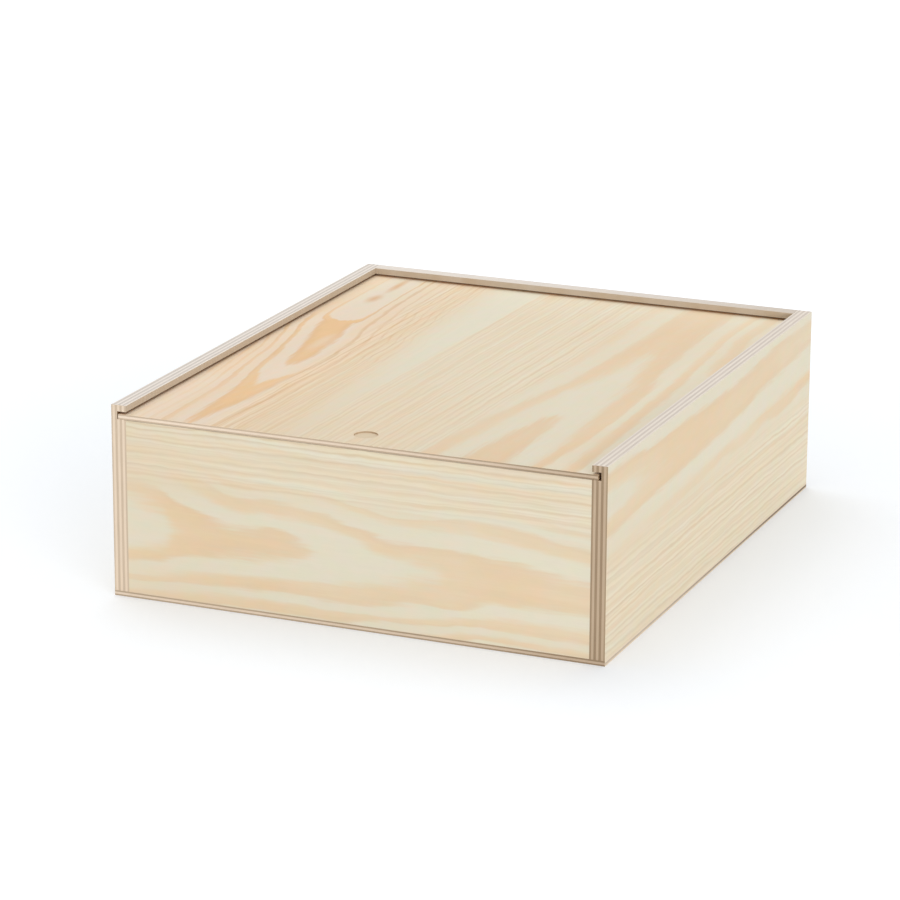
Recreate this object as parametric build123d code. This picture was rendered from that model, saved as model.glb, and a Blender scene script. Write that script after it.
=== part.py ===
from build123d import *
import os

# A plywood box with a lid that slides out towards the front.
# Millimetres. Origin at the middle of the underside, +Z up, front face towards -Y, right wall towards +X.
# Every board is laid up from its separate veneers, because the crossed plies show at all of its edges.

# Overall size of the closed box
box_width = 290.0
box_depth = 345.0
box_height = 110.0

# Wall board: two thin face veneers over equal inner plies
wall_face_veneer = 1.0
wall_inner_ply = 1.4
wall_inner_ply_count = 5

# Three-ply sheet of the bottom and the lid
sheet_face_veneer = 0.9
sheet_core_ply = 1.2

# Groove for the lid, cut right through the innermost plies of the side walls and the back wall.
# In the side walls it starts at the front end and stops level with the bottom of the back wall's groove.
grooved_ply_count = 4
lip_height = 3.6
lid_headroom = 1.4

# Play of the lid in its grooves, where it lies pushed to the left
lid_left_gap = 0.4
lid_right_gap = 1.8
lid_rear_gap = 0.5
lid_to_front_wall_gap = 0.2

# Round thumb notch, cut through the lid's top veneer down to its core
notch_diameter = 13.2
notch_setback = 18.3
cut_overrun = 1.0

# Lay-up of the two boards, outer ply first
wall_plies = [wall_face_veneer] + [wall_inner_ply] * wall_inner_ply_count + [wall_face_veneer]
sheet_plies = [sheet_face_veneer, sheet_core_ply, sheet_face_veneer]
wall_thickness = sum(wall_plies)
sheet_thickness = sum(sheet_plies)

# Faces that several boards share
left_face = -box_width / 2
right_face = box_width / 2
front_face = -box_depth / 2
back_face = box_depth / 2
inner_left_face = left_face + wall_thickness
inner_right_face = right_face - wall_thickness

# The groove, from its floor that carries the lid to its roof under the lip
groove_depth = sum(wall_plies[-grooved_ply_count:])
groove_roof = box_height - lip_height
groove_floor = groove_roof - lid_headroom - sheet_thickness
groove_bottom_offset = wall_thickness - groove_depth
side_groove_end = back_face - groove_bottom_offset

# The lid between the bottoms of its grooves, its front edge flush with the front wall
lid_left_edge = left_face + groove_bottom_offset + lid_left_gap
lid_right_edge = right_face - groove_bottom_offset - lid_right_gap
lid_rear_edge = back_face - groove_bottom_offset - lid_rear_gap
lid_middle = (lid_left_edge + lid_right_edge) / 2


def block(across, along, up):
    """Solid box from its low and high ends in X, in Y and in Z."""
    spans = (across, along, up)
    low = [span[0] for span in spans]
    size = [span[1] - span[0] for span in spans]
    return Pos(*low) * Box(*size, align=(Align.MIN, Align.MIN, Align.MIN))


def save(node, solids):
    """Writes one node: a single solid, or several that belong to one sheet of veneer."""
    piece = solids[0] if len(solids) == 1 else Compound(children=solids)
    piece.label = node
    export_step(piece, os.path.join("parts", node + ".step"))


def wall_ply_name(number):
    """Name of a wall's ply, counted from its outer face."""
    if number == 1:
        return "outer_veneer"
    if number == len(wall_plies):
        return "inner_veneer"
    return f"ply_{number}"


def wall(name, thickness_axis, outer_face, inward, run, top, groove_end=None):
    """One wall standing on the bottom, laid up ply by ply from its outer face towards the inside.

    inward is 1 or -1 along the thickness axis, and run is the wall's low and high end along the other axis.
    A groove starts at the low end of the run. A ply that it cuts is a lower sheet, a lip strip and, where the
    groove stops short of the high end, the uncut wood between them.
    """
    first_grooved_ply = len(wall_plies) - grooved_ply_count + 1
    near = outer_face
    for number, thickness in enumerate(wall_plies, start=1):
        far = near + inward * thickness
        through = (min(near, far), max(near, far))
        pieces = [(run, (sheet_thickness, top))]
        if groove_end is not None and number >= first_grooved_ply:
            pieces = [(run, (sheet_thickness, groove_floor)), (run, (groove_roof, top))]
            if groove_end < run[1]:
                pieces.append(((groove_end, run[1]), (groove_floor, groove_roof)))
        if thickness_axis == Axis.X:
            solids = [block(through, along, up) for along, up in pieces]
        else:
            solids = [block(along, through, up) for along, up in pieces]
        save(f"{name}_{wall_ply_name(number)}", solids)
        near = far


def side_walls():
    """Two full-depth walls with the long grooves of the lid, open at the front end."""
    depth = (front_face, back_face)
    wall("left_wall", Axis.X, left_face, 1, depth, box_height, side_groove_end)
    wall("right_wall", Axis.X, right_face, -1, depth, box_height, side_groove_end)


def end_walls():
    """Front and back walls between the side walls. The lid passes over the front one."""
    between = (inner_left_face, inner_right_face)
    wall("front_wall", Axis.Y, front_face, 1, between, groove_floor - lid_to_front_wall_gap)
    wall("back_wall", Axis.Y, back_face, -1, between, box_height, inner_right_face)


def bottom():
    """Three-ply sheet under all four walls, laid up from the underside."""
    low = 0.0
    for ply, thickness in zip(("under_veneer", "core", "upper_veneer"), sheet_plies):
        high = low + thickness
        save(f"bottom_{ply}", [block((left_face, right_face), (front_face, back_face), (low, high))])
        low = high


def lid():
    """Three-ply sheet resting on the groove floors, with the thumb notch through its top veneer."""
    low = groove_floor
    for ply, thickness in zip(("under_veneer", "core", "top_veneer"), sheet_plies):
        high = low + thickness
        sheet = block((lid_left_edge, lid_right_edge), (front_face, lid_rear_edge), (low, high))
        if ply == "top_veneer":
            notch_height = thickness + 2 * cut_overrun
            notch_middle = (low + high) / 2
            notch = Cylinder(notch_diameter / 2, notch_height)
            sheet = sheet - Pos(lid_middle, front_face + notch_setback, notch_middle) * notch
        save(f"lid_{ply}", [sheet])
        low = high


os.makedirs("parts", exist_ok=True)
side_walls()
end_walls()
bottom()
lid()
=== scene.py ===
import math
from collections import namedtuple

import bmesh
import bpy
from mathutils import Matrix, Vector


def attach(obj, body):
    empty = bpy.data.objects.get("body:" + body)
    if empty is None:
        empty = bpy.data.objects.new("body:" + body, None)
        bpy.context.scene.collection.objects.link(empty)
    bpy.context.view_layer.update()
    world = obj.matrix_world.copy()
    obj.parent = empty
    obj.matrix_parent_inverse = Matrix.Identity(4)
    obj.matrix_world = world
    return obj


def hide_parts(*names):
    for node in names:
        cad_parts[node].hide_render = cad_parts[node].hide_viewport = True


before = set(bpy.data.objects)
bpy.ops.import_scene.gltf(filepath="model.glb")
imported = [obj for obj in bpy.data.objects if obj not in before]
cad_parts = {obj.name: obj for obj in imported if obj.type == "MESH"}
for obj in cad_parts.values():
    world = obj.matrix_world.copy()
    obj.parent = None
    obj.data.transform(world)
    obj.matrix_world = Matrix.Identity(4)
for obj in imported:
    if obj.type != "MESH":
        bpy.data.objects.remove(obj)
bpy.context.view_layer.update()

# A plywood box with a sliding lid. Every board is shown ply by ply, with sanded arrises, pine figure on its
# faces, and crossed light and dark grain along its edges. Metres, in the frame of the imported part. Patterns
# on the wood are written in millimetres.

MM = 0.001
X, Y, Z = 0, 1, 2
WHITE = (1.0, 1.0, 1.0, 1.0)

# Camera, placed from the corners of the box in the photograph
IMAGE_WIDTH_PX = 900
SENSOR_WIDTH_MM = 36.0
FOCAL_LENGTH_PX = 3871.3
CAMERA_AZIMUTH = math.radians(22.7643)
CAMERA_ELEVATION = math.radians(16.8424)
CAMERA_ROLL = math.radians(0.2896)
CAMERA_PLACE = Vector((0.81120, -1.97237, 0.69926))

# Studio: a white sky over a pale floor that turns to plain white around the box, a soft key light behind the
# box on the left, and a soft fill light before its right corner
SKY_STRENGTH = 0.72
FLOOR_SIZE = 14.0
FLOOR_COLOUR = (0.915, 0.935, 0.95, 1.0)
NEAR_GLOW = (0.088, 0.101, 0.125, 1.0)
FAR_GLOW = (0.36, 0.36, 0.36, 1.0)
GLOW_RISE = (0.2, 0.95)
GLOW_CENTRE = (-0.03, 0.1, 0.0)
LIGHT_TARGET = Vector((0.0, 0.0, 0.05))
SoftBox = namedtuple("SoftBox", "name place width height power")
KEY_LIGHT = SoftBox("key_light", Vector((-0.8, 0.8, 2.15)), 2.0, 2.0, 14.7)
FILL_LIGHT = SoftBox("fill_light", Vector((3.25, -3.15, 0.85)), 2.4, 1.0, 71.0)

# Softening of the boards' edges
WALL_ARRIS_RADIUS = 0.3 * MM
SHEET_ARRIS_RADIUS = 0.15 * MM
ARRIS_SEGMENTS = 3
MERGE_DISTANCE = 0.001 * MM
RIM_MARGIN = 1.0 * MM
FLAT_ANGLE = math.radians(1.0)
SHARP_ANGLE = math.radians(60.0)
UPRIGHT_SHARE = 0.9

# Bare wood: gloss of open faces and of dull ones in the grooves
DRY_GLOSS = 0.2
DULL_GLOSS = 0.02

# Uneven patches: their length along the grain and width across it, their strength, detail and seed
Patches = namedtuple("Patches", "run width strength detail seed", defaults=(1.0, 1.0, 0.0))
NOISE_MIDDLE = 0.5
NOISE_GAIN = 3.0

# Sockets of the Mix node when it mixes colours
MIX_SHARE, MIX_FIRST, MIX_SECOND, MIX_RESULT = 0, 6, 7, 2


class Field:
    """A number that varies over a surface. Sums and products of fields add the Math nodes for them."""

    def __init__(self, finish, socket):
        self.finish = finish
        self.socket = socket

    def __add__(self, other):
        return self.finish.math("ADD", self, other)

    def __radd__(self, other):
        return self.finish.math("ADD", other, self)

    def __sub__(self, other):
        return self.finish.math("SUBTRACT", self, other)

    def __rsub__(self, other):
        return self.finish.math("SUBTRACT", other, self)

    def __mul__(self, other):
        return self.finish.math("MULTIPLY", self, other)

    def __rmul__(self, other):
        return self.finish.math("MULTIPLY", other, self)

    def __truediv__(self, other):
        return self.finish.math("DIVIDE", self, other)

    def __abs__(self):
        return self.finish.math("ABSOLUTE", self)

    def at_least(self, other):
        return self.finish.math("MAXIMUM", self, other)

    def at_most(self, other):
        return self.finish.math("MINIMUM", self, other)

    def fraction(self):
        return self.finish.math("FRACT", self)

    def ease(self, low, high):
        """0 below low and 1 above high, with a smooth step between them."""
        return self.finish.field("ShaderNodeMapRange", self, low, high, interpolation_type="SMOOTHSTEP")

    def fade(self, low, high):
        """1 below low and 0 above high, with a smooth step between them."""
        return 1 - self.ease(low, high)

    def within(self, rise_low, rise_high, fall_low, fall_high):
        """0, then 1 between a smooth rise and a smooth fall, then 0 again."""
        return self.ease(rise_low, rise_high) * self.fade(fall_low, fall_high)

    def curve(self, points):
        """A smooth curve drawn through given points, level beyond its two ends."""
        return self.finish.curve(self, points)


class Finish:
    """A material in the making, with its nodes written as sums of fields in millimetres."""

    def __init__(self, name):
        self.material = bpy.data.materials.new(name)
        self.material.use_nodes = True
        self.tree = self.material.node_tree
        self.shader = self.tree.nodes["Principled BSDF"]
        coordinates = self.tree.nodes.new("ShaderNodeTexCoord")
        millimetres = self.field("ShaderNodeVectorMath", coordinates.outputs["Object"], operation="SCALE")
        millimetres.socket.node.inputs["Scale"].default_value = 1 / MM
        split = self.tree.nodes.new("ShaderNodeSeparateXYZ")
        self.tree.links.new(millimetres.socket, split.inputs[0])
        self.place = [Field(self, output) for output in split.outputs]

    def feed(self, socket, value):
        """Links a field or a socket, or sets a plain value."""
        if isinstance(value, Field):
            value = value.socket
        if isinstance(value, bpy.types.NodeSocket):
            self.tree.links.new(value, socket)
        else:
            socket.default_value = value

    def field(self, kind, *values, **settings):
        """Adds one node, feeds its first sockets and gives back its first result."""
        node = self.tree.nodes.new(kind)
        for setting, value in settings.items():
            setattr(node, setting, value)
        for socket, value in zip(node.inputs, values):
            self.feed(socket, value)
        return Field(self, node.outputs[0])

    def math(self, operation, *values):
        return self.field("ShaderNodeMath", *values, operation=operation)

    def noise(self, along, across, patches, seed=0.0):
        """Noise from about -1 to 1, times its strength, in patches of the length and width asked for."""
        place = self.field("ShaderNodeCombineXYZ", along / patches.run, across / patches.width,
                           seed + patches.seed)
        unsteady = self.field("ShaderNodeTexNoise", place)
        unsteady.socket.node.inputs["Scale"].default_value = 1.0
        unsteady.socket.node.inputs["Detail"].default_value = patches.detail
        return (unsteady - NOISE_MIDDLE) * (NOISE_GAIN * patches.strength)

    def curve(self, value, points):
        first, last = points[0][0], points[-1][0]
        heights = [height for _, height in points]
        low, span = min(heights), max(heights) - min(heights)
        node = self.tree.nodes.new("ShaderNodeFloatCurve")
        line = node.mapping.curves[0]
        shares = [((at - first) / (last - first), (height - low) / span) for at, height in points]
        line.points[0].location = shares[0]
        line.points[1].location = shares[-1]
        for share in shares[1:-1]:
            line.points.new(*share)
        for point in line.points:
            point.handle_type = "AUTO_CLAMPED"
        node.mapping.update()
        share = self.field("ShaderNodeMapRange", value, first, last)
        self.feed(node.inputs["Value"], share)
        return Field(self, node.outputs[0]) * span + low

    def mix(self, share, first, second):
        """A colour between two colours."""
        node = self.tree.nodes.new("ShaderNodeMix")
        node.data_type = "RGBA"
        self.feed(node.inputs[MIX_SHARE], share)
        self.feed(node.inputs[MIX_FIRST], first)
        self.feed(node.inputs[MIX_SECOND], second)
        return Field(self, node.outputs[MIX_RESULT])

    def shade(self, colour, brightness):
        """A colour made lighter or darker by a field around 1."""
        node = self.tree.nodes.new("ShaderNodeVectorMath")
        node.operation = "SCALE"
        self.feed(node.inputs["Vector"], colour)
        self.feed(node.inputs["Scale"], brightness)
        return Field(self, node.outputs[0])

    def tint(self, colour, share, first, second):
        """A colour multiplied by one between two tints."""
        tint = self.mix(share, first, second)
        return self.field("ShaderNodeVectorMath", colour, tint, operation="MULTIPLY")

    def done(self, colour, roughness, relief, depth_mm, gloss=DRY_GLOSS):
        """Hands colour, roughness and relief to the shader of dry, unvarnished wood."""
        bump = self.tree.nodes.new("ShaderNodeBump")
        bump.inputs["Strength"].default_value = 1.0
        bump.inputs["Distance"].default_value = depth_mm * MM
        self.feed(bump.inputs["Height"], relief)
        self.feed(self.shader.inputs["Base Color"], colour)
        self.feed(self.shader.inputs["Roughness"], roughness)
        self.feed(self.shader.inputs["Normal"], bump.outputs[0])
        self.shader.inputs["Specular IOR Level"].default_value = gloss
        return self.material


def srgb(red, green, blue):
    """A colour from the 0 to 255 values that it has on screen."""
    channels = [value / 255 for value in (red, green, blue)]
    linear = [c / 12.92 if c <= 0.04045 else ((c + 0.055) / 1.055) ** 2.4 for c in channels]
    return (*linear, 1.0)


# Pine: pale early wood, tan late wood and the dark line where a ring ends, with a redder set for the left of
# the lid
Palette = namedtuple("Palette", "early late ring_end")
PALE_PINE = Palette(srgb(225.8, 218.3, 197.6), srgb(228.6, 202.9, 168.2), srgb(222, 190, 154))
LID_PINE = Palette(srgb(226.9, 219.8, 198.6), srgb(229.6, 199.8, 162.7), srgb(222, 190, 154))
RED_PINE = Palette(srgb(232.5, 215.5, 194.5), srgb(234, 195, 147), srgb(219, 177, 136))
# Brown of the knots, also laid on the lid's edge strips under the lips as painted shade
KNOT_STAIN_AND_PAINTED_SHADE = srgb(219, 174, 129)
GREENISH = (0.982, 1.010, 0.974, 1.0)
PINKISH = (1.015, 0.990, 1.018, 1.0)

# What a face's figure is drawn from: growth rings counted outwards from the heart of the tree, the strength
# of their bands, of the late wood in them and of the fine lines, how thin and how crisp the bands are, how
# red the wood is, the slope of its fibres, late wood to add, knot staining together with painted shade, and
# lightness to add, which in places is painted light
Figure = namedtuple(
    "Figure",
    "rings contrast fullness lines thinness crispness redness slope late_shift stain lightness",
    defaults=(1.0, 0.0, 0.0, 0.0, 0.0, 0.0, 0.0, 0.0, 0.0))

# A soft oval on a face: its middle, its half sizes and its strength
Oval = namedtuple("Oval", "along across half_length half_width strength", defaults=(1.0,))


def blot(f, along, across, oval):
    """The oval's strength in its middle, and 0 from its rim outwards."""
    share_along = (along - oval.along) / oval.half_length
    share_across = (across - oval.across) / oval.half_width
    reach = f.math("SQRT", share_along * share_along + share_across * share_across)
    return oval.strength * reach.fade(0.0, 1.0)


def blots(f, along, across, ovals):
    """Several ovals on one face."""
    return sum(blot(f, along, across, oval) for oval in ovals)


# The front wall's figure, along from its middle and across from the floor. Its curves go by the place along
# the wall, apart from the spread, which goes by the distance from the axis, and the strength, which goes by
# the height.
FRONT_AXIS = ((-145, 42), (-60, 41.5), (0, 40), (60, 37), (145, 34))
FRONT_UPPER_SQUEEZE = (
    (-145, 0.68), (-120, 0.7), (-109, 0.78), (-100, 0.85), (-90, 0.93), (-80, 1.03), (-70, 1.1), (-50, 1.02),
    (-25, 1.0), (0, 1.08), (15, 1.1), (30, 1.05), (46, 0.95), (60, 0.86), (80, 0.82), (100, 0.84),
    (120, 0.91), (145, 0.95))
FRONT_LOWER_SQUEEZE = (
    (-145, 1.02), (-80, 1.0), (-45, 0.98), (0, 0.96), (33, 0.97), (64, 1.1), (90, 1.16), (118, 1.14),
    (145, 1.12))
FRONT_SPREAD = (
    (0, 0), (5, 0.13), (10, 0.25), (12, 0.34), (15, 0.55), (18, 0.74), (21, 0.93), (25, 1.13), (28, 1.32),
    (30, 1.6), (33, 1.95), (36, 2.3), (48, 3.8), (66, 6.2))
FRONT_LEVEL = ((-145, -0.14), (-122, 0), (-100, 0.27), (-20, 0.7), (57, 1.27), (100, 1.42), (145, 1.5))
FRONT_TIPS = (
    (-145, 0), (-118, 0), (-100, 0.12), (-60, 0.02), (-34, -0.03), (-16, 0.08), (20, 0.02), (46, 0.02),
    (61, 0.12), (100, 0.04), (145, 0))
FRONT_BENDS = (
    Oval(17, 49, 22, 9, 0.24), Oval(-76, 52, 20, 8, 0.08), Oval(-126, 53, 26, 8, 0.12),
    Oval(-45, 49, 18, 8, -0.14), Oval(15, 16, 65, 11, -0.28), Oval(60, 21, 30, 7, -0.38),
    Oval(-130, 24, 42, 8.5, -0.1))
FRONT_STRENGTH = (
    (0, 0.85), (14, 0.9), (34, 1), (56, 1), (62, 0.8), (66, 0.6), (70, 0.46), (74, 0.34), (78, 0.2),
    (84, 0.12), (102, 0.1))
FRONT_WEAK_SPOTS = (Oval(-60, 74, 26, 6, 0.3), Oval(90, 15, 40, 8, 0.2), Oval(30, 9, 40, 7, 0.25))
FRONT_FULLNESS = (
    (-145, 0.9), (-95, 1), (-60, 1), (-30, 0.78), (0, 0.76), (30, 0.82), (60, 0.76), (90, 0.9), (120, 0.72),
    (145, 0.72))
FRONT_PALE_LINE = ((-80, 99.5), (-30, 97.3), (0, 95.5), (45, 94), (90, 94), (145, 95.5))
FRONT_SECOND_LINE = ((-60, 77), (0, 75), (30, 73), (60, 72), (90, 71), (120, 69.3), (145, 68))
# Painted light: the front wall is lighter below this height and darker above it, offsetting the shade near
# the floor
FRONT_MIDDLE_HEIGHT = 52
FRONT_PAINTED_LIGHT_FALL = 0.0004


def front_wall_figure(f, along, across):
    """Tongues of late and early wood that point to the right, under fine straight lines."""
    axis = along.curve(FRONT_AXIS)
    above = (across - axis).at_least(0)
    below = (axis - across).at_least(0)
    squeezed = above * along.curve(FRONT_UPPER_SQUEEZE) + below * along.curve(FRONT_LOWER_SQUEEZE)
    tips = along.curve(FRONT_TIPS) * squeezed.fade(4, 11)
    bends = blots(f, along, across, FRONT_BENDS)
    wide_foot = 0.33 * below.ease(31, 38) * along.within(-122, -96, -10, 40)
    rings = along.curve(FRONT_LEVEL) + squeezed.curve(FRONT_SPREAD) + tips + bends - wide_foot

    left_end = along.fade(-105, -55)
    faint_start = 0.6 * along.fade(-100, -72) * across.ease(64, 70)
    faint_foot = 0.28 * along.fade(-80, -45) * across.fade(20, 27)
    weak_spots = blots(f, along, across, FRONT_WEAK_SPOTS)
    contrast = across.curve(FRONT_STRENGTH) * (1 - faint_start) * (1 - faint_foot)
    contrast = contrast * (1 - 0.1 * left_end) * (1 - weak_spots)

    from_pale_line = abs(across - along.curve(FRONT_PALE_LINE))
    pale_line = 0.34 * from_pale_line.fade(0.6, 2.4) - 0.18 * from_pale_line.within(2, 3, 3.4, 5)
    from_second_line = abs(across - along.curve(FRONT_SECOND_LINE))
    second_line = 0.3 * from_second_line.fade(0.6, 3.2)
    pale_top = 0.04 * across.ease(72, 82)
    late_shift = (0.07 * left_end - pale_line * along.ease(-85, -40) - second_line * along.ease(-75, -45)
                  - pale_top)

    light_top = 0.012 * across.ease(70, 82)
    light_right = 0.012 * along.within(40, 80, 122, 138) * across.fade(50, 70)
    # Painted light falls from the foot to the top
    lightness = (FRONT_MIDDLE_HEIGHT - across) * FRONT_PAINTED_LIGHT_FALL + light_top + light_right
    fine_lines = 1.05 * across.ease(64, 78)
    return Figure(rings, contrast, along.curve(FRONT_FULLNESS), fine_lines, late_shift=late_shift,
                  lightness=lightness)


# The right wall's figure, along from its middle to the back and across from the floor. The axis of its band
# climbs to the back, and the depth is the distance below it.
RIGHT_AXIS_HEIGHT = 90
RIGHT_AXIS_START = -50
RIGHT_AXIS_SLOPE = 0.035
RIGHT_DEEPEST = 36
RIGHT_SPREAD = ((0, 0), (8, 0.08), (15.5, 0.36), (19, 0.5), (27, 1.05), (36, 1.7))
RIGHT_LEVEL = ((-172, 0.36), (-50, 0.42), (50, 0.5), (120, 0.52), (172, 0.54))
RIGHT_PALE_STRIP = (
    (-172, 95), (-140, 95), (-105, 92.5), (-60, 92), (20, 91.5), (45, 92.5), (90, 96), (125, 97.5),
    (172, 97))
RIGHT_STRIP_WIDTH = 9
RIGHT_STRIP_RINGS = 0.22
RIGHT_STRIP_MOST_RINGS = 0.58
RIGHT_TONGUE = Oval(-172, 88.5, 70, 10.5)
RIGHT_STRENGTH = ((0, 0.05), (50, 0.1), (56, 0.22), (62, 0.34), (68, 0.54), (74, 0.9), (110, 0.95))
RIGHT_GAP = Oval(-118, 61, 28, 7, 0.3)
RIGHT_FULLNESS = (
    (-172, 0.87), (-115, 0.84), (-80, 0.98), (-40, 0.99), (0, 0.95), (40, 0.84), (80, 0.88), (120, 0.7),
    (172, 0.48))
# Painted light: the right wall is lighter below this height and darker above it, offsetting the shade near
# the floor
RIGHT_MIDDLE_HEIGHT = 60
RIGHT_PAINTED_LIGHT_FALL = 0.0003
RIGHT_LIGHTNESS_RISE = 0.0001
RIGHT_SHADE = 0.007


def right_wall_figure(f, along, across):
    """A broad late-wood band along the top with an early-wood tongue in its front end, over fine lines."""
    axis = RIGHT_AXIS_HEIGHT + (along - RIGHT_AXIS_START) * RIGHT_AXIS_SLOPE
    depth = (axis - across).at_least(0).at_most(RIGHT_DEEPEST)
    slack = along.ease(10, 110) * (0.12 * depth.ease(15, 24) + 0.2 * depth.ease(24, 36))
    narrowing = 0.1 * along.ease(40, 90) * depth.ease(3, 9)
    rise = ((across - along.curve(RIGHT_PALE_STRIP)) / RIGHT_STRIP_WIDTH).at_least(0)
    strip_rings = (rise * rise * RIGHT_STRIP_RINGS).at_most(RIGHT_STRIP_MOST_RINGS)
    tongue = blot(f, along, across, RIGHT_TONGUE)
    dip = depth.ease(20, 29) * (0.16 * along.within(85, 120, 130, 156) + 0.2 * along.within(15, 40, 50, 80))
    rings = along.curve(RIGHT_LEVEL) + depth.curve(RIGHT_SPREAD) + narrowing - slack - dip
    rings = rings + strip_rings - 0.4 * tongue

    second_band = 0.28 * along.ease(70, 140) * across.within(56, 60, 70, 74)
    gap = blot(f, along, across, RIGHT_GAP)
    thin_band = (1 - along.curve(RIGHT_FULLNESS)) * across.ease(72, 80)
    fine_lines = 1.2 * across.fade(50, 62)
    # Painted light at the foot: paler and lighter wood near the floor, offsetting its shade
    painted_pale_foot = 0.07 * across.fade(18, 42)
    painted_light_foot = 0.006 * across.fade(26, 44)
    lightness = ((RIGHT_MIDDLE_HEIGHT - across) * RIGHT_PAINTED_LIGHT_FALL + along * RIGHT_LIGHTNESS_RISE
                 + painted_light_foot - 0.02 * tongue - RIGHT_SHADE)
    return Figure(rings, across.curve(RIGHT_STRENGTH) + second_band - gap, 1 - thin_band, fine_lines,
                  late_shift=0 - painted_pale_foot, lightness=lightness)


# The lid's figure, along to the back and across to the right from the middle of the box. The flame is on the
# left. Its spread counts rings by the distance from its axis.
FLAME_AXIS = (
    (-172, -98.5), (-150, -98), (-110, -96.5), (-70, -98), (-30, -98.5), (-5, -101.5), (10, -103.5),
    (22, -105.5), (60, -112), (166, -113.5))
FLAME_LEVEL = (
    (-172, 1.66), (-150, 1.59), (-90, 1.32), (-70, 1.1), (-48, 0.74), (-38, 0.6), (-25, 0.52), (-5, 0.48),
    (22, 0.44), (56, 0.42), (166, 0.32))
FLAME_EYE_END = ((54, 0), (66, -0.4), (100, -0.8), (166, -1.05))
FLAME_CROWDING = ((-172, 1.0), (-20, 1.0), (15, 0.91), (58, 0.88), (90, 0.95), (166, 1.1))
FLAME_SPREAD = (
    (0, 0), (4.5, 0.12), (7.5, 0.23), (10, 0.36), (13, 0.66), (17, 1.08), (21, 1.6), (25, 2.2), (30, 3.1),
    (36, 4.4), (42, 5.8), (60, 10.1))
FLAME_LEAST_RINGS = 0.02
FLAME_QUIET_LEFT = ((-172, 0.5), (-110, 0.45), (-70, 0.1), (-30, 0), (50, 0), (75, 0.75), (166, 0.85))
FLAME_QUIET_ARM = Oval(-70, -80, 34, 10, 0.3)

# The lid's cathedral, on the right
CATHEDRAL_AXIS = ((-172, 76), (-83, 79.5), (-40, 82), (4, 84.5), (47, 84), (91, 84.5), (166, 86))
CATHEDRAL_LEVEL = (
    (-172, 0.42), (-125, 0.52), (-79, 0.7), (-40, 0.88), (4, 1.07), (47, 1.25), (91, 1.31), (134, 1.31),
    (166, 1.33))
CATHEDRAL_TIPS = (
    (-172, 0), (-92, -0.03), (-66, 0.06), (0, 0.02), (46, -0.02), (62, 0.07), (91, 0.13), (134, 0.15),
    (166, 0.12))
CATHEDRAL_RIGHT_STRETCH = ((-172, 1.0), (47, 1.0), (91, 1.07), (134, 1.16), (166, 1.14))
CATHEDRAL_RIGHT_SPREAD = (
    (0, 0), (6, 0.12), (10, 0.25), (16, 0.37), (21, 0.62), (25, 0.8), (30, 1.12), (35, 1.45), (40, 1.75),
    (47, 2.05), (52, 2.35), (66, 3.2))
CATHEDRAL_LEFT_SPREAD = (
    (0, 0), (6, 0.12), (10, 0.24), (16, 0.36), (20, 0.55), (25, 0.82), (30, 1.02), (35, 1.22), (39, 1.45),
    (46, 1.9))
CATHEDRAL_LEFT_REACH = 46
CATHEDRAL_BULGE = Oval(-70, 111, 120, 9, 0.33)
CATHEDRAL_STRENGTH = (
    (-172, 0.92), (-140, 0.84), (-110, 0.74), (-30, 0.74), (20, 0.72), (100, 0.7), (166, 0.6))

# The plain band between them, and the lid's other marks
BAND_LEFT = ((-172, -41), (-110, -45), (-60, -48), (0, -52), (60, -56), (166, -59))
BAND_RIGHT = ((-172, -36), (-40, -32), (60, -28), (166, -24))
BAND_PLAINNESS = ((-172, 0.1), (-90, 0.25), (0, 0.38), (166, 0.42))
LID_TAN_SPOTS = (Oval(162, -17, 24, 4, 0.35), Oval(10, -101, 30, 9, -0.48))
# Painted light: the lid gets lighter towards the back lip and a little darker at the front, offsetting the
# lips' shade and the fall of the light over it
LID_PAINTED_LIGHT = (
    (-172, -0.02), (-100, -0.005), (0, 0.005), (90, 0.015), (130, 0.035), (150, 0.075), (166, 0.11))
LID_KNOTS = (Oval(146, -113, 27, 4, 0.8), Oval(112, -114, 15, 6, 0.8))
LID_FIBRE_SLOPE = -0.03


def flame_rings(along, from_flame):
    """Rings of the flame, with the eye that closes it at the back."""
    eye_end = along.curve(FLAME_EYE_END) * from_flame.fade(8, 17)
    rings = along.curve(FLAME_LEVEL) + from_flame.curve(FLAME_SPREAD) + eye_end
    return rings.at_least(FLAME_LEAST_RINGS)


def cathedral_rings(f, along, across, leftward, rightward):
    """Rings of the cathedral, whose two sides spread differently."""
    tips = along.curve(CATHEDRAL_TIPS) * (rightward + leftward).fade(4, 12)
    bulge = blot(f, along, across, CATHEDRAL_BULGE)
    crowded_edge = 0.28 * along.ease(10, 60) * rightward.ease(33, 43)
    sides = rightward.curve(CATHEDRAL_RIGHT_SPREAD) + leftward.curve(CATHEDRAL_LEFT_SPREAD)
    return along.curve(CATHEDRAL_LEVEL) + sides + tips - bulge + crowded_edge


def lid_knot_stain_and_painted_shade(f, along, across):
    """Stain of two knots, and painted shade on the lid's edge strips that run in the grooves, under the lips.
    """
    x, y = f.place[X], f.place[Y]
    # Painted shade on the lid's edge strips under the lips, darkest on the left
    painted_groove_shade = 0.6 * x.fade(-136.7, -136.1) + 0.3 * x.ease(136.1, 136.7) + 0.3 * y.ease(163.6, 164.2)
    return (painted_groove_shade.at_most(1) + blots(f, along, across, LID_KNOTS)).at_most(1)


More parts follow.
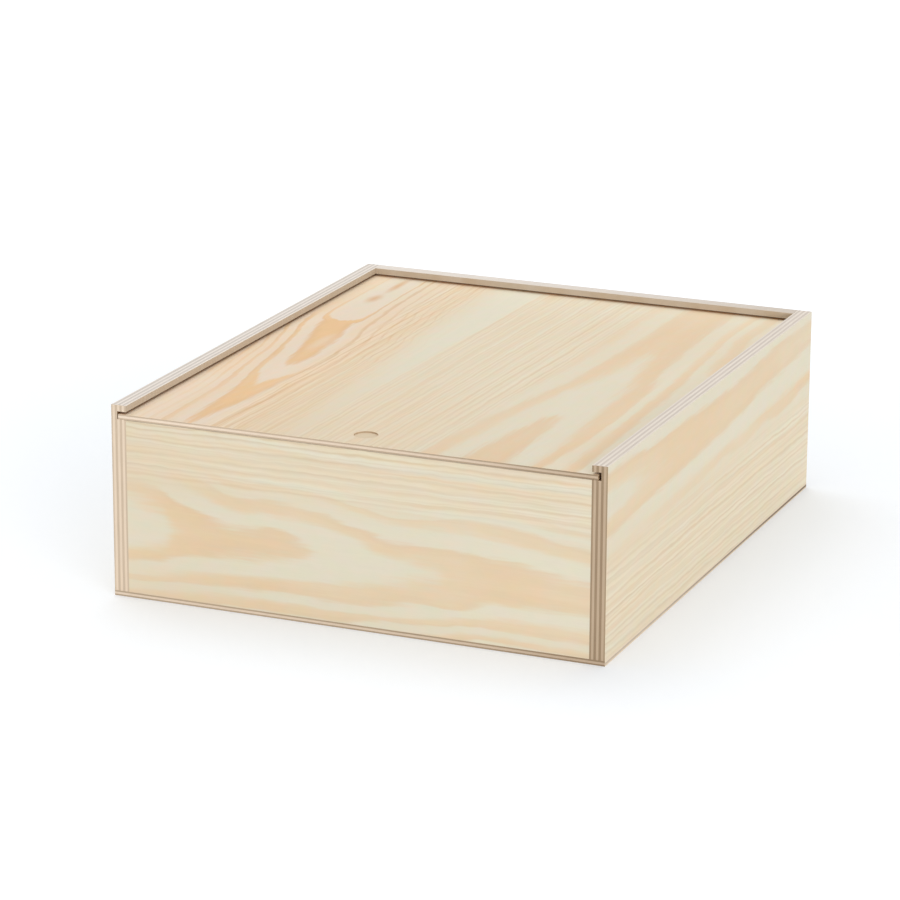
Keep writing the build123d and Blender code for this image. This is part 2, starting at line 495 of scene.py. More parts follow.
def lid_figure(f, along, across):
    """A sharp red flame on the left, a plain pale band, fine lines, and a tall cathedral on the right."""
    flame_axis = along.curve(FLAME_AXIS)
    from_flame = abs(across - flame_axis) * along.curve(FLAME_CROWDING)
    right_of_flame = (across - flame_axis).ease(-4, 4)
    cathedral_axis = along.curve(CATHEDRAL_AXIS)
    rightward = (across - cathedral_axis).at_least(0) * along.curve(CATHEDRAL_RIGHT_STRETCH)
    leftward = (cathedral_axis - across).at_least(0).at_most(CATHEDRAL_LEFT_REACH)
    on_right = across.ease(-41, -39)
    on_left = 1 - on_right
    flame = flame_rings(along, from_flame)
    cathedral = cathedral_rings(f, along, across, leftward, rightward)
    rings = flame + (cathedral - flame) * on_right

    quiet_left = (1 - right_of_flame) * from_flame.ease(9, 15) * along.curve(FLAME_QUIET_LEFT)
    quiet_arm = blot(f, along, across, FLAME_QUIET_ARM)
    quiet_front = 0.12 * along.fade(-50, -20)
    quiet_outside = 0.55 * from_flame.ease(14, 30)
    flame_contrast = (1 - quiet_outside) * (1 - quiet_left) * (1 - quiet_arm) * (1 - quiet_front)
    faint_left = 0.28 * leftward.ease(8, 24) + 0.38 * leftward.ease(30, 44)
    faint_right = rightward.ease(12, 26) * (0.1 + 0.14 * along.ease(-10, 60))
    cathedral_contrast = along.curve(CATHEDRAL_STRENGTH) - faint_left - faint_right
    contrast = flame_contrast + (cathedral_contrast - flame_contrast) * on_right

    band_left = along.curve(BAND_LEFT)
    before_band = (across - band_left).fade(-5, 4)
    after_band = (across - along.curve(BAND_RIGHT)).ease(-2, 2)
    plain_band = 1 - before_band - after_band
    tan_strip = across.ease(-92, -80) * before_band
    middle_lines = 0.88 * after_band * leftward.ease(28, 44)
    strip_lines = tan_strip * (1.35 - 0.6 * across.ease(-85, -50))

    tan_left = 0.18 * across.ease(-88, -66) * before_band
    plainness = (across - band_left).ease(-6, 20) * along.curve(BAND_PLAINNESS)
    pale_back = 0.1 * after_band * along.ease(100, 150)
    pale_middle = 0.07 * after_band * leftward.ease(20, 36) * along.ease(-110, -60)
    pale_left_corner = 0.2 * across.fade(-122, -112) * along.fade(-90, -60)
    tan_right_corner = 0.15 * across.within(103, 110, 115, 121) * along.fade(-110, -80)
    late_shift = tan_left - (1 - after_band) * plainness - pale_back + blots(f, along, across, LID_TAN_SPOTS)
    late_shift = late_shift - pale_middle - pale_left_corner + tan_right_corner

    # Painted light beside the left lip, offsetting its shade
    painted_light_by_left_lip = 0.07 * across.fade(-134, -112)
    light_middle = 0.016 * across.ease(-40, -20)
    # Painted light beside the right lip, offsetting its shade
    light_right = 0.035 * across.ease(100, 114) + 0.05 * across.ease(116, 134) * along.ease(-60, 40)
    light_left_front = 0.015 * across.fade(-84, -68) * along.fade(-50, -20)
    lightness = along.curve(LID_PAINTED_LIGHT) + painted_light_by_left_lip + light_middle + light_right + light_left_front
    return Figure(
        rings, contrast * (1 - 0.8 * plain_band),
        lines=middle_lines + strip_lines,
        thinness=from_flame.ease(8, 15) * on_left * (0.45 + 0.55 * right_of_flame),
        crispness=on_left,
        redness=across.fade(-92, -56) * (1 - 0.5 * along.ease(60, 130)),
        slope=LID_FIBRE_SLOPE,
        late_shift=late_shift,
        stain=lid_knot_stain_and_painted_shade(f, along, across),
        lightness=lightness + 0.025 * tan_strip)


# Faces that the photograph doesn't show: the middle line and half width of a cathedral, the place of its
# tip, the rings per millimetre along it, and those beside it
PlainFace = namedtuple("PlainFace", "axis half_width tip rings_along rings_beside")
INSIDE_OF_SIDE_WALLS = PlainFace(50, 26, 40, 0.004, 0.3)
INSIDE_OF_END_WALLS = PlainFace(60, 28, -60, 0.005, 0.3)
LEFT_WALL_FACE = PlainFace(38, 30, 60, -0.005, 0.32)
BACK_WALL_FACE = PlainFace(64, 30, -40, 0.006, 0.32)
UNDERSIDE = PlainFace(-30, 45, 60, -0.006, 0.26)
INSIDE_OF_BOTTOM = PlainFace(35, 45, -40, 0.006, 0.26)
LID_UNDERSIDE = PlainFace(20, 45, 30, 0.006, 0.26)
CATHEDRAL_FLATNESS = 480
EDGE_ON_START_SHARE = 0.8
EDGE_ON_FULL_SHARE = 1.3
EDGE_ON_FADING = 0.85


def plain_figure(face):
    """Figure of a face with one cathedral between straight lines."""

    def figure(f, along, across):
        off_axis = abs(across - face.axis)
        core = off_axis.at_most(face.half_width)
        beside = (off_axis - face.half_width).at_least(0) * face.rings_beside
        rings = (along - face.tip) * face.rings_along + core * core / CATHEDRAL_FLATNESS + beside
        edge_on = off_axis.ease(face.half_width * EDGE_ON_START_SHARE, face.half_width * EDGE_ON_FULL_SHARE)
        return Figure(rings, 1 - edge_on * EDGE_ON_FADING, lines=edge_on)

    return figure


# Marks of a pine face, each with a seed of its own
WANDER = Patches(70, 16, 1.1)
TREMBLE = Patches(12, 3.5, 0.55, seed=3)
FEATHER = Patches(22, 2.0, 0.075, 2.0, seed=7)
PATCHINESS = Patches(90, 13, 0.2, seed=5)
LINE_DRIFT = Patches(130, 24, 0.9, seed=2)
LINE_RIPPLE = Patches(45, 14, 0.8, seed=43)
LINE_PLACES = Patches(400, 9, 0.5, seed=19)
LINE_STRENGTHS = Patches(160, 6, 0.8, seed=23)
STREAKS = Patches(60, 2.4, 1.0, 1.5, seed=31)
HUE_STREAKS = Patches(300, 4.5, 1.0, 1.5, seed=37)
CURL = Patches(10, 5, seed=41)
MOTTLE = Patches(13, 8, seed=29)
FIBRES = Patches(30, 0.7, 1.0, 3.0, seed=11)
FLECKS = Patches(6, 0.4, seed=13)
DRIFT = Patches(130, 45, seed=17)

# Where in a ring the late wood starts, is full, starts to fade and is gone: in a soft band, and what a crisp
# band and a thin one add to that
RingPlace = namedtuple("RingPlace", "soft crisp thin")
LATE_START = RingPlace(0.14, 0.1, 0.12)
LATE_FULL = RingPlace(0.46, -0.08, 0.16)
FADE_START = RingPlace(0.55, 0.06, 0.0)
FADE_END = RingPlace(0.84, -0.08, 0.0)
RING_END = (0.5, 0.64, 0.66, 0.78)
RING_END_SHARE = 0.3
MEAN_LATE_SHARE = 0.4
MEAN_PATCHINESS = 0.95
THIN_BAND_LOSS = 0.6

# Fine straight lines, where the rings are cut on edge: two sets, and the parts of a line's width
LINE_SPACINGS = (4.3, 2.7)
LINE_SHARES = (0.62, 0.5)
LINE_RISE = (0.25, 0.66)
LINE_FALL = (0.7, 0.9)
CRISP_LINE_DELAY = 0.2
MEAN_LINE = 0.35
CRISP_LINE_LOSS = 0.1
LINE_BASE = 0.33
STREAKS_WITHOUT_LINES = 0.25
HUE_STREAKS_WITHOUT_LINES = 0.12

# How much late wood each mark adds, how much light it adds or takes away, and what it does to the surface
LATE_BY_LINES = 0.05
LATE_BY_LINE = 0.22
LATE_BY_STREAKS = 0.05
LATE_BY_HUE_STREAKS = 0.22
LATE_BY_CURL = 0.14
LIGHT_BY_FIBRES = 0.014
LIGHT_BY_DRIFT = 0.008
LIGHT_BY_CURL = 0.018
DARK_BY_LINE = 0.076
DARK_BY_STREAKS = 0.02
DARK_BY_FLECKS = 0.03
DARK_BY_THIN_BANDS = 0.1
MEAN_THIN_BAND = 0.15
MOTTLE_RANGE = (-1.2, 1.2)
FLECK_RANGE = (0.45, 0.9)
PINE_ROUGHNESS = 0.66
ROUGH_BY_FIBRES = 0.05
SMOOTH_BY_LATE_WOOD = 0.04
RELIEF_BY_FIBRES = 0.5
PINE_RELIEF_MM = 0.02


def edge_on_lines(f, along, across, spacing, crispness, seed):
    """Fine lines with a soft rise and a sharper fall, uneven in place and strength, and that strength."""
    uneven = f.noise(along, across, LINE_PLACES, seed)
    phase = (across / spacing + uneven).fraction()
    strength = (1 + f.noise(along, across, LINE_STRENGTHS, seed)).at_least(0)
    rise_start, rise_end = LINE_RISE
    rise = phase.ease(rise_start + crispness * CRISP_LINE_DELAY, rise_end)
    return rise * phase.fade(*LINE_FALL) * strength, strength


def ring_place(place, drawn):
    """A place in the ring, moved by how crisp and how thin the bands are."""
    return place.soft + drawn.crispness * place.crisp + drawn.thinness * place.thin


def pine_face(name, along_axis, across_axis, figure, seed, palette=PALE_PINE):
    """Finish of a veneer's broad face: growth rings, fine lines, mottling, fibres and resin flecks."""
    f = Finish(name)
    along = f.place[along_axis]
    straight = f.place[across_axis]

    def noise(patches):
        return f.noise(along, straight, patches, seed)

    tremble = noise(TREMBLE)
    drawn = figure(f, along, straight + noise(WANDER) + tremble)
    phase = (drawn.rings + noise(FEATHER)).fraction()
    late_rise = phase.ease(ring_place(LATE_START, drawn), ring_place(LATE_FULL, drawn))
    late_fade = phase.fade(ring_place(FADE_START, drawn), ring_place(FADE_END, drawn))
    late = late_rise * late_fade * drawn.fullness
    contrast = drawn.contrast * (MEAN_PATCHINESS + noise(PATCHINESS))

    slanted = straight + along * drawn.slope + noise(LINE_DRIFT) + noise(LINE_RIPPLE) + tremble
    line, line_strength = 0.0, 0.0
    for spacing, share in zip(LINE_SPACINGS, LINE_SHARES):
        shape, strength = edge_on_lines(f, along, slanted, spacing, drawn.crispness, seed + spacing)
        line = line + shape * (drawn.lines * share)
        line_strength = line_strength + strength * (drawn.lines * share)
    line_mean = line_strength * (MEAN_LINE - drawn.crispness * CRISP_LINE_LOSS)
    line_base = line_strength * LINE_BASE * (1 - drawn.crispness)
    streaks = f.noise(along, slanted, STREAKS, seed) * (STREAKS_WITHOUT_LINES + drawn.lines)
    hue_streaks = f.noise(along, slanted, HUE_STREAKS, seed) * (HUE_STREAKS_WITHOUT_LINES + drawn.lines)
    curl = noise(CURL)

    band = (late - MEAN_LATE_SHARE) * contrast * (1 - drawn.thinness * THIN_BAND_LOSS)
    late_share = (MEAN_LATE_SHARE + band + drawn.lines * LATE_BY_LINES + (line - line_mean) * LATE_BY_LINE
                  + streaks * LATE_BY_STREAKS + hue_streaks * LATE_BY_HUE_STREAKS + curl * LATE_BY_CURL)
    early_colour, late_colour, end_colour = palette
    if isinstance(drawn.redness, Field):
        early_colour, late_colour, end_colour = [
            f.mix(drawn.redness, pale, red) for pale, red in zip(palette, RED_PINE)]
    colour = f.mix(late_share + drawn.late_shift, early_colour, late_colour)
    colour = f.mix(phase.within(*RING_END) * contrast * RING_END_SHARE, colour, end_colour)
    # Knots, and painted shade on the lid's edge strips under the lips
    if isinstance(drawn.stain, Field):
        colour = f.mix(drawn.stain, colour, KNOT_STAIN_AND_PAINTED_SHADE)
    colour = f.tint(colour, noise(MOTTLE).ease(*MOTTLE_RANGE), GREENISH, PINKISH)

    fibres = noise(FIBRES)
    flecks = noise(FLECKS).ease(*FLECK_RANGE)
    thin_bands = (late * contrast - MEAN_THIN_BAND) * drawn.thinness
    light = fibres * LIGHT_BY_FIBRES + noise(DRIFT) * LIGHT_BY_DRIFT + curl * LIGHT_BY_CURL + drawn.lightness
    dark = ((line - line_base) * DARK_BY_LINE + streaks * DARK_BY_STREAKS + flecks * DARK_BY_FLECKS
            + thin_bands * DARK_BY_THIN_BANDS)
    roughness = PINE_ROUGHNESS + fibres * ROUGH_BY_FIBRES - late * SMOOTH_BY_LATE_WOOD
    relief = fibres * RELIEF_BY_FIBRES - flecks
    return f.done(f.shade(colour, 1 + light - dark), roughness, relief, PINE_RELIEF_MM)


def changing(low, high):
    """Two colours, at the low and at the high end of the box."""
    return srgb(*low), srgb(*high)


def even(*colour):
    """The same colour at both ends of the box."""
    return changing(colour, colour)


# Edges of the plies: dark where the fibres are cut across, light where they run along. Each colour changes
# from the low end to the high end of the box along one axis. The end of a board's first veneer may have a
# colour of its own.
EdgeTone = namedtuple("EdgeTone", "axis end_grain long_grain veneer_end", defaults=(None,))
WALL_FRONT_TONE = EdgeTone(
    X, changing((209, 188, 164), (157, 134, 108)), changing((233, 213, 190), (192, 169, 143)),
    changing((212, 192, 169), (170, 148, 121)))
LID_FRONT_TONE = EdgeTone(
    X, changing((206, 185, 161), (154, 132, 107)), changing((241, 222, 201), (196, 174, 149)))
BOTTOM_FRONT_TONE = EdgeTone(
    X, changing((187, 166, 142), (152, 130, 104)), changing((232, 213, 192), (194, 171, 147)))
SIDE_TONE = EdgeTone(
    Y, changing((200, 184, 166), (128, 110, 92)), changing((231, 214, 191), (226, 209, 186)))
TOP_TONE = EdgeTone(
    X, changing((212, 203, 194), (214, 202, 190)), changing((238, 229, 219), (235, 225, 213)))
BACK_TOP_TONE = EdgeTone(
    X, changing((226, 217, 207), (205, 193, 180)), changing((240, 231, 221), (220, 209, 196)))
# Painted shade: sides of the plies in the grooves, dark brown where the grooves lie in shade
GROOVE_PAINTED_SHADE_TONE = EdgeTone(Y, even(120, 83, 47), even(138, 99, 60))
# Painted light: the back groove's sides, much lighter than in the other grooves, so that the back gap looks
# lit
BACK_GROOVE_PAINTED_LIGHT_TONE = EdgeTone(Y, even(220, 186, 148), even(232, 200, 162))
# Painted shade: the lid's sides, which run in the grooves, darkened for the shade in the slots
LID_SIDE_PAINTED_SHADE_TONE = EdgeTone(Y, even(178, 146, 111), even(208, 178, 143))
DULL_TONES = (GROOVE_PAINTED_SHADE_TONE, LID_SIDE_PAINTED_SHADE_TONE)
FRONT_TONES = {"lid": LID_FRONT_TONE, "bottom": BOTTOM_FRONT_TONE}

# The share of that change at places from left to right, and where it starts and ends from front to back
FALL_TO_THE_RIGHT = ((-145, 0), (-90, 0.04), (-20, 0.2), (60, 0.45), (110, 0.8), (145, 1))
FRONT_TO_BACK = (-172, 172)

# Marks on the edges: patches, the relief of the fibres, and how much light these two add
EdgeMarks = namedtuple("EdgeMarks", "relief light_by_patches light_by_relief")
EDGE_PATCHES = Patches(22, 1.6, seed=2)
LONG_GRAIN_MARKS = EdgeMarks(Patches(9, 0.3, seed=5), 0.04, 0.03)
END_GRAIN_MARKS = EdgeMarks(Patches(0.5, 0.35, seed=5), 0.06, 0.05)
EDGE_ROUGHNESS = 0.7
ROUGH_BY_RELIEF = 0.04
EDGE_RELIEF_MM = 0.03

# Faces of inner plies that a cut lays bare, and the lips' inner faces, light and dark; the groove bottoms and
# the lips' faces are darkened with painted shade
NOTCH_FLOOR = (srgb(226, 208, 180), srgb(219, 199, 169))
NOTCH_WALL = (srgb(199, 174, 145), srgb(183, 157, 129))
GROOVE_BOTTOM_PAINTED_SHADE = (srgb(128, 91, 54), srgb(112, 77, 43))
LIP_FACE_PAINTED_SHADE = (srgb(198, 183, 165), srgb(190, 171, 147))
PEELED_FIBRES = Patches(14, 0.6, 1.0, 3.0, seed=1)
PEELED_RANGE = (-1.0, 1.0)
PEELED_ROUGHNESS = 0.72

edge_finishes = {}


def edge_finish(tone, grain, run):
    """Finish of a ply's narrow edge that runs along one axis."""
    key = (tone, grain, run)
    if key in edge_finishes:
        return edge_finishes[key]
    f = Finish(f"{grain}_edge_{len(edge_finishes) + 1}")
    along = f.place[run]
    across = f.place[(run + 1) % 3] + f.place[(run + 2) % 3]
    share = f.place[X].curve(FALL_TO_THE_RIGHT) if tone.axis == X else f.place[Y].ease(*FRONT_TO_BACK)
    colours = getattr(tone, grain) or tone.end_grain
    marks = LONG_GRAIN_MARKS if grain == "long_grain" else END_GRAIN_MARKS
    patches = f.noise(along, across, EDGE_PATCHES)
    relief = f.noise(along, across, marks.relief)
    brightness = 1 + patches * marks.light_by_patches + relief * marks.light_by_relief
    colour = f.shade(f.mix(share, *colours), brightness)
    roughness = EDGE_ROUGHNESS + relief * ROUGH_BY_RELIEF
    gloss = DULL_GLOSS if tone in DULL_TONES else DRY_GLOSS
    edge_finishes[key] = f.done(colour, roughness, relief, EDGE_RELIEF_MM, gloss)
    return edge_finishes[key]


def peeled_face(name, colours, gloss=DRY_GLOSS):
    """Finish of an inner ply's broad face, laid bare by a cut."""
    f = Finish(name)
    fibres = f.noise(f.place[X], f.place[Y], PEELED_FIBRES)
    colour = f.mix(fibres.ease(*PEELED_RANGE), *colours)
    return f.done(colour, PEELED_ROUGHNESS + fibres * ROUGH_BY_RELIEF, fibres, EDGE_RELIEF_MM, gloss)


# A board's plies run from its outer face inwards, or from its underside up. outward is the direction of that
# first face along the through axis, glued lists the sides fixed to other boards, and finishes are those of
# the first and of the last broad face.
Board = namedtuple("Board", "name body plies through outward face_grain cross_grain glued finishes slots")
WALL_PLIES = ("outer_veneer", "ply_2", "ply_3", "ply_4", "ply_5", "ply_6", "inner_veneer")
BOTTOM_PLIES = ("under_veneer", "core", "upper_veneer")
LID_PLIES = ("under_veneer", "core", "top_veneer")
WALL_SLOTS = ("wall_face_veneer", "wall_inner_ply")
SHEET_SLOTS = ("sheet_face_veneer", "sheet_core_ply")
SIDE_WALL_GLUED = ((Z, -1),)
END_WALL_GLUED = ((Z, -1), (X, -1), (X, 1))
BOTTOM_GLUED = ((Z, 1),)


def boards():
    """The six boards of the box."""
    inside_along_y = pine_face("inside_of_side_walls", Y, Z, plain_figure(INSIDE_OF_SIDE_WALLS), seed=31)
    inside_along_x = pine_face("inside_of_end_walls", X, Z, plain_figure(INSIDE_OF_END_WALLS), seed=37)
    left_face = pine_face("left_wall_face", Y, Z, plain_figure(LEFT_WALL_FACE), seed=41)
    right_face = pine_face("right_wall_face", Y, Z, right_wall_figure, seed=43)
    front_face = pine_face("front_wall_face", X, Z, front_wall_figure, seed=47)
    back_face = pine_face("back_wall_face", X, Z, plain_figure(BACK_WALL_FACE), seed=53)
    underside = pine_face("underside", Y, X, plain_figure(UNDERSIDE), seed=59)
    bottom_inside = pine_face("inside_of_bottom", Y, X, plain_figure(INSIDE_OF_BOTTOM), seed=61)
    lid_top = pine_face("lid_top", Y, X, lid_figure, seed=67, palette=LID_PINE)
    lid_under = pine_face("lid_underside", Y, X, plain_figure(LID_UNDERSIDE), seed=71)

    def wall(name, through, outward, grain, glued, finishes):
        return Board(name, "box", WALL_PLIES, through, outward, grain, Z, glued, finishes, WALL_SLOTS)

    return [
        wall("left_wall", X, -1, Y, SIDE_WALL_GLUED, (left_face, inside_along_y)),
        wall("right_wall", X, 1, Y, SIDE_WALL_GLUED, (right_face, inside_along_y)),
        wall("front_wall", Y, -1, X, END_WALL_GLUED, (front_face, inside_along_x)),
        wall("back_wall", Y, 1, X, END_WALL_GLUED, (back_face, inside_along_x)),
        Board("bottom", "box", BOTTOM_PLIES, Z, -1, Y, X, BOTTOM_GLUED, (underside, bottom_inside),
              SHEET_SLOTS),
        Board("lid", "lid", LID_PLIES, Z, -1, Y, X, (), (lid_under, lid_top), SHEET_SLOTS),
    ]


def facing(face):
    """The axis that a face looks along, and the sign of its direction."""
    axis = max(range(3), key=lambda a: abs(face.normal[a]))
    return axis, (1 if face.normal[axis] > 0 else -1)


def shows(board, number, direction):
    """Whether that side of a ply is open to the air, not glued to the next ply or to another board."""
    axis, sign = direction
    if direction in board.glued:
        return False
    if axis != board.through:
        return True
    if sign == board.outward:
        return number == 0
    return number == len(board.plies) - 1


def is_arris(board, number, edge):
    """Whether two open sides meet at this edge, apart from the corner joints inside the side walls."""
    if not edge.is_convex or edge.calc_face_angle() < SHARP_ANGLE:
        return False
    directions = [facing(face) for face in edge.link_faces]
    inner_side = (board.through, -board.outward)
    upright = abs((edge.verts[0].co - edge.verts[1].co).normalized().z) > UPRIGHT_SHARE
    if board.through == X and upright and inner_side in directions:
        return False
    return all(shows(board, number, direction) for direction in directions)


def outline(shape):
    """The low and the high corner of a shape's box."""
    low = [min(vertex.co[axis] for vertex in shape.verts) for axis in range(3)]
    high = [max(vertex.co[axis] for vertex in shape.verts) for axis in range(3)]
    return low, high


def lip_underside():
    """Height of the undersides of the lips, which are the lowest corners of a grooved ply above the lid."""
    lid_top = max(vertex.co.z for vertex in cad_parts["lid_top_veneer"].data.vertices)
    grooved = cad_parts["left_wall_inner_veneer"].data.vertices
    return min(vertex.co.z for vertex in grooved if vertex.co.z > lid_top)


LIP_UNDERSIDE = lip_underside()


def join_blocks(shape):
    """Makes one body of the blocks of a grooved ply, which meet behind the groove's end."""
    if all(edge.is_manifold for edge in shape.edges):
        return
    low, _ = outline(shape)
    groove_end = min(vertex.co.y for vertex in shape.verts if vertex.co.y > low[Y] + RIM_MARGIN)
    everything = shape.verts[:] + shape.edges[:] + shape.faces[:]
    bmesh.ops.bisect_plane(shape, geom=everything, dist=MERGE_DISTANCE, plane_co=(0, groove_end, 0),
                           plane_no=(0, 1, 0))
    bmesh.ops.remove_doubles(shape, verts=shape.verts, dist=MERGE_DISTANCE)
    between = [face for face in shape.faces if all(len(edge.link_faces) > 2 for edge in face.edges)]
    bmesh.ops.delete(shape, geom=between, context="FACES_ONLY")
    cut_verts = [vertex for vertex in shape.verts if abs(vertex.co.y - groove_end) < MERGE_DISTANCE]
    cut_edges = [edge for edge in shape.edges if all(vertex in cut_verts for vertex in edge.verts)]
    bmesh.ops.dissolve_limit(shape, angle_limit=FLAT_ANGLE, verts=cut_verts, edges=cut_edges)


def edge_tone(board, direction, middle, front_end):
    """The tone of a ply's narrow side, from the way that it faces and where it lies."""
    axis, sign = direction
    # Sides of plies in the grooves get painted shade
    if axis == Z:
        in_groove = board.name != "front_wall" and (sign < 0 or middle.z < LIP_UNDERSIDE)
        if board.name == "back_wall":
            return BACK_GROOVE_PAINTED_LIGHT_TONE if in_groove else BACK_TOP_TONE
        return GROOVE_PAINTED_SHADE_TONE if in_groove else TOP_TONE
    if axis == Y and (sign < 0 or board.body == "box"):
        groove_end = sign < 0 and middle.y > front_end + RIM_MARGIN
        return GROOVE_PAINTED_SHADE_TONE if groove_end else FRONT_TONES.get(board.name, WALL_FRONT_TONE)
    # The lid's other sides get painted shade
    return LID_SIDE_PAINTED_SHADE_TONE if board.body == "lid" else SIDE_TONE


def side_finish(board, number, face, corners, cut_faces):
    """The finish of one side of a ply, from the way that it faces."""
    direction = facing(face)
    axis, sign = direction
    middle = face.calc_center_median()
    low, high = corners
    inside = all(low[a] + RIM_MARGIN < middle[a] < high[a] - RIM_MARGIN for a in (X, Y))
    if board.body == "lid" and axis != board.through and inside:
        return cut_faces["notch_wall"]
    if axis == board.through:
        # Faces laid bare by the notch, and groove bottoms with painted shade
        if not shows(board, number, direction) and direction not in board.glued:
            return cut_faces["notch_floor" if board.body == "lid" else "painted_shade_groove_bottom"]
        if sign == board.outward:
            return board.finishes[0]
        # The lips' inner faces get painted shade
        is_lip = board.body == "box" and middle.z > LIP_UNDERSIDE
        return cut_faces["painted_shade_lip_face"] if is_lip else board.finishes[1]
    grain_axis = board.cross_grain if number % 2 else board.face_grain
    grain = "long_grain"
    if axis == grain_axis:
        grain = "veneer_end" if number == 0 else "end_grain"
    run = X + Y + Z - axis - board.through
    return edge_finish(edge_tone(board, direction, middle, low[Y]), grain, run)


def ply_piece(board, number, cut_faces):
    """One ply with its open edges sanded round, in place of its plain solid."""
    node = f"{board.name}_{board.plies[number]}"
    shape = bmesh.new()
    shape.from_mesh(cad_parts[node].data)
    bmesh.ops.remove_doubles(shape, verts=shape.verts, dist=MERGE_DISTANCE)
    bmesh.ops.dissolve_limit(shape, angle_limit=FLAT_ANGLE, verts=shape.verts, edges=shape.edges)
    join_blocks(shape)
    shape.normal_update()
    arrises = [edge for edge in shape.edges if is_arris(board, number, edge)]
    radius = WALL_ARRIS_RADIUS if board.slots is WALL_SLOTS else SHEET_ARRIS_RADIUS
    bmesh.ops.bevel(shape, geom=arrises, offset=radius, affect="EDGES", segments=ARRIS_SEGMENTS,
                    profile=0.5, material=-1)
    shape.normal_update()

    corners = outline(shape)
    mesh = bpy.data.meshes.new(f"{node}_sanded")
    for face in shape.faces:
        finish = side_finish(board, number, face, corners, cut_faces)
        if finish.name not in mesh.materials:
            mesh.materials.append(finish)
        face.material_index = mesh.materials.find(finish.name)
    shape.to_mesh(mesh)
    shape.free()

    piece = bpy.data.objects.new(f"{node}_sanded", mesh)
    bpy.context.scene.collection.objects.link(piece)
    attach(piece, board.body)
    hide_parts(node)


def add_boards():
    """All the plies of all the boards."""
    cut_faces = {
        "notch_floor": peeled_face("notch_floor", NOTCH_FLOOR),
        "painted_shade_groove_bottom": peeled_face("painted_shade_groove_bottom", GROOVE_BOTTOM_PAINTED_SHADE, DULL_GLOSS),
        "painted_shade_lip_face": peeled_face("painted_shade_lip_face", LIP_FACE_PAINTED_SHADE),
        "notch_wall": peeled_face("notch_wall", NOTCH_WALL),
    }
    for board in boards():
        for number in range(len(board.plies)):
            ply_piece(board, number, cut_faces)


def seen_by_eye(tree):
    """1 for what the camera sees, straight or by gloss or glass, and 0 for what lights other surfaces."""
    ray = tree.nodes.new("ShaderNodeLightPath")
    direct = tree.nodes.new("ShaderNodeMath")
    direct.operation = "MAXIMUM"
    mirrored = tree.nodes.new("ShaderNodeMath")
    mirrored.operation = "MAXIMUM"
    tree.links.new(ray.outputs["Is Glossy Ray"], mirrored.inputs[0])
    tree.links.new(ray.outputs["Is Transmission Ray"], mirrored.inputs[1])
    tree.links.new(ray.outputs["Is Camera Ray"], direct.inputs[0])
    tree.links.new(mirrored.outputs[0], direct.inputs[1])
    return direct.outputs[0]


def floor_material():
    """Pale and a little cool, with a glow for the eye alone that whitens the floor away from the box."""
    material = bpy.data.materials.new("pale_floor")
    material.use_nodes = True
    tree = material.node_tree
    tree.nodes.clear()
    white = tree.nodes.new("ShaderNodeBsdfDiffuse")
    white.inputs["Color"].default_value = FLOOR_COLOUR
    glow = tree.nodes.new("ShaderNodeEmission")
    coordinates = tree.nodes.new("ShaderNodeTexCoord")
    distance = tree.nodes.new("ShaderNodeVectorMath")
    distance.operation = "DISTANCE"
    distance.inputs[1].default_value = GLOW_CENTRE
    tree.links.new(coordinates.outputs["Object"], distance.inputs[0])
    spread = tree.nodes.new("ShaderNodeMapRange")
    rise_start, rise_end = GLOW_RISE
    spread.inputs["From Min"].default_value = rise_start
    spread.inputs["From Max"].default_value = rise_end
    tree.links.new(distance.outputs["Value"], spread.inputs["Value"])
    glow_colour = tree.nodes.new("ShaderNodeMix")
    glow_colour.data_type = "RGBA"
    glow_colour.inputs[MIX_FIRST].default_value = NEAR_GLOW
    glow_colour.inputs[MIX_SECOND].default_value = FAR_GLOW
    tree.links.new(spread.outputs[0], glow_colour.inputs[MIX_SHARE])
    tree.links.new(glow_colour.outputs[MIX_RESULT], glow.inputs["Color"])
    tree.links.new(seen_by_eye(tree), glow.inputs["Strength"])
    both = tree.nodes.new("ShaderNodeAddShader")
    tree.links.new(white.outputs[0], both.inputs[0])
    tree.links.new(glow.outputs[0], both.inputs[1])
    output = tree.nodes.new("ShaderNodeOutputMaterial")
    tree.links.new(both.outputs[0], output.inputs["Surface"])
    return material


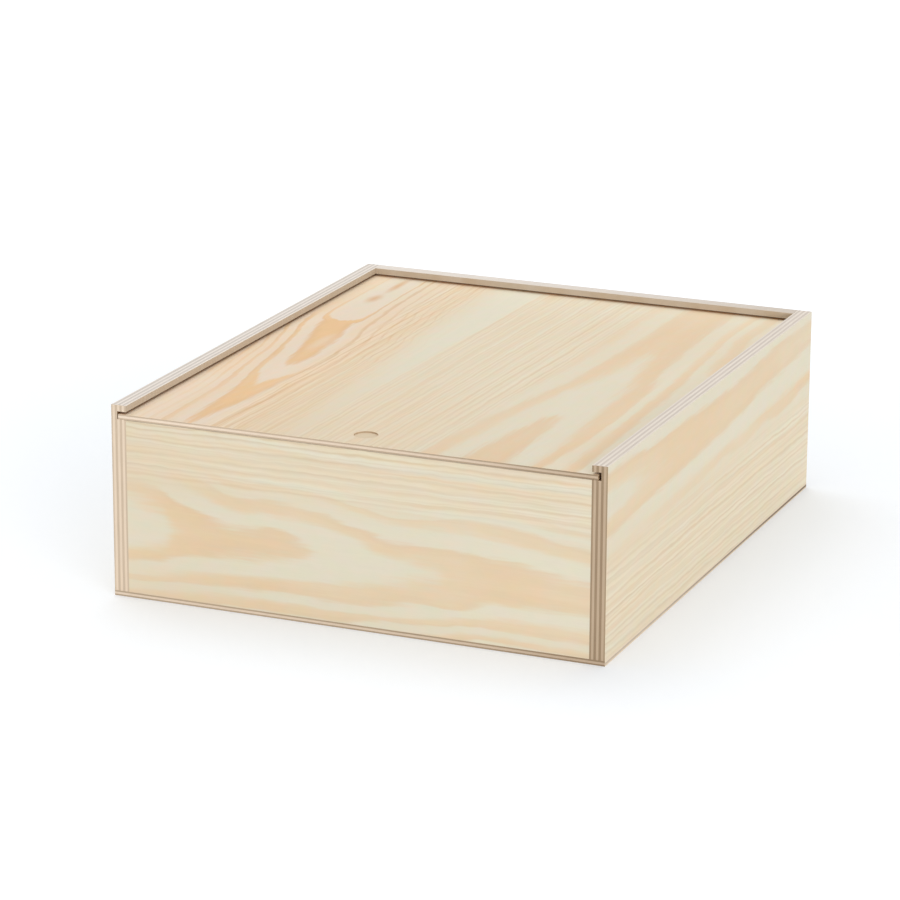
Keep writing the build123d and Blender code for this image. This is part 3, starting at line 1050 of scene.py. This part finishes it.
def add_floor():
    """Floor that keeps the box's shadow."""
    shape = bmesh.new()
    bmesh.ops.create_grid(shape, x_segments=1, y_segments=1, size=FLOOR_SIZE / 2)
    mesh = bpy.data.meshes.new("floor")
    shape.to_mesh(mesh)
    shape.free()
    mesh.materials.append(floor_material())
    floor = bpy.data.objects.new("floor", mesh)
    bpy.context.scene.collection.objects.link(floor)


def add_sky():
    """Even pale sky, which looks white."""
    world = bpy.data.worlds.new("white_sky")
    world.use_nodes = True
    tree = world.node_tree
    sky = tree.nodes["Background"]
    sky.inputs["Color"].default_value = WHITE
    strength = tree.nodes.new("ShaderNodeMapRange")
    strength.inputs["To Min"].default_value = SKY_STRENGTH
    strength.inputs["To Max"].default_value = 1.0
    tree.links.new(seen_by_eye(tree), strength.inputs["Value"])
    tree.links.new(strength.outputs[0], sky.inputs["Strength"])
    bpy.context.scene.world = world


def add_soft_box(soft_box):
    """A large rectangular lamp aimed at the box."""
    lamp = bpy.data.lights.new(soft_box.name, "AREA")
    lamp.shape = "RECTANGLE"
    lamp.size = soft_box.width
    lamp.size_y = soft_box.height
    lamp.energy = soft_box.power
    holder = bpy.data.objects.new(soft_box.name, lamp)
    bpy.context.scene.collection.objects.link(holder)
    holder.location = soft_box.place
    holder.rotation_euler = (LIGHT_TARGET - soft_box.place).to_track_quat("-Z", "Y").to_euler()


def add_camera():
    """Camera at the photograph's viewing angle."""
    lens = bpy.data.cameras.new("camera")
    lens.sensor_width = SENSOR_WIDTH_MM
    lens.lens = FOCAL_LENGTH_PX * SENSOR_WIDTH_MM / IMAGE_WIDTH_PX
    camera = bpy.data.objects.new("camera", lens)
    bpy.context.scene.collection.objects.link(camera)
    turn = Matrix.Rotation(CAMERA_AZIMUTH, 4, "Z")
    tilt = Matrix.Rotation(math.pi / 2 - CAMERA_ELEVATION, 4, "X")
    roll = Matrix.Rotation(CAMERA_ROLL, 4, "Z")
    camera.matrix_world = Matrix.Translation(CAMERA_PLACE) @ turn @ tilt @ roll
    bpy.context.scene.camera = camera


add_boards()
add_floor()
add_sky()
add_soft_box(KEY_LIGHT)
add_soft_box(FILL_LIGHT)
add_camera()
bpy.context.scene.view_settings.view_transform = "Standard"
